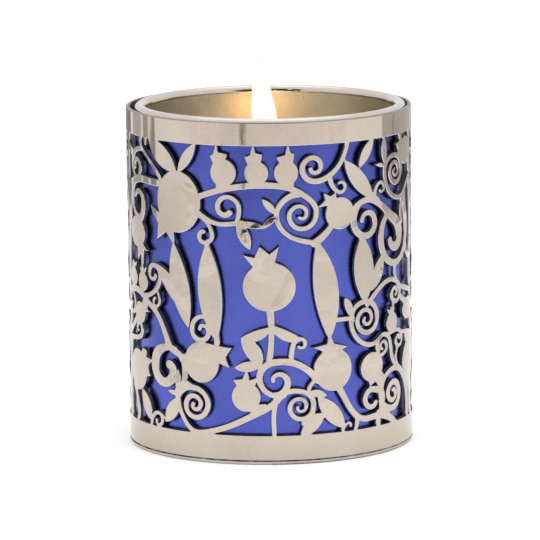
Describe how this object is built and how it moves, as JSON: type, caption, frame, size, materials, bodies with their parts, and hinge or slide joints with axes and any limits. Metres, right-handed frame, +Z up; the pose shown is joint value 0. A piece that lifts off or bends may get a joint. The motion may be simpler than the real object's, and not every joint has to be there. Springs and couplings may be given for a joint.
{
  "type": "votive candle holder",
  "caption": "Round votive candle holder: pierced leaf-and-fruit metal sleeve over a blue tube, with a lift-out steel cup and a tin candle.",
  "frame": {"origin": "centre of the underside of the base plate", "axes": "+Z up, the front of the pattern faces -Y, +X to the right as seen from the front"},
  "size_m": [0.07, 0.07, 0.0838],
  "materials": {
    "base": "polished",
    "sleeve": "polished, warm nickel",
    "liner": "satin blue anodised",
    "solder": "dull",
    "cup": "satin inside, polished lip",
    "tin": "satin",
    "wax": "semi-translucent wax",
    "wick": "charred cotton"
  },
  "bodies": {
    "holder": {"base_plate": "base", "pierced_sleeve": "sleeve", "blue_liner": "liner", "seam_solder": "solder"},
    "cup": {"cup": "cup"},
    "candle": {"candle_tin": "tin", "wax": "wax", "wick_sustainer": "tin", "wick": "wick"}
  },
  "joints": [
    {"name": "cup_lift", "type": "slide", "parent": "holder", "child": "cup", "axis": [0, 0, 1], "range_m": [0, 0.09]},
    {"name": "candle_lift", "type": "slide", "parent": "cup", "child": "candle", "axis": [0, 0, 1], "range_m": [0, 0.09]}
  ]
}
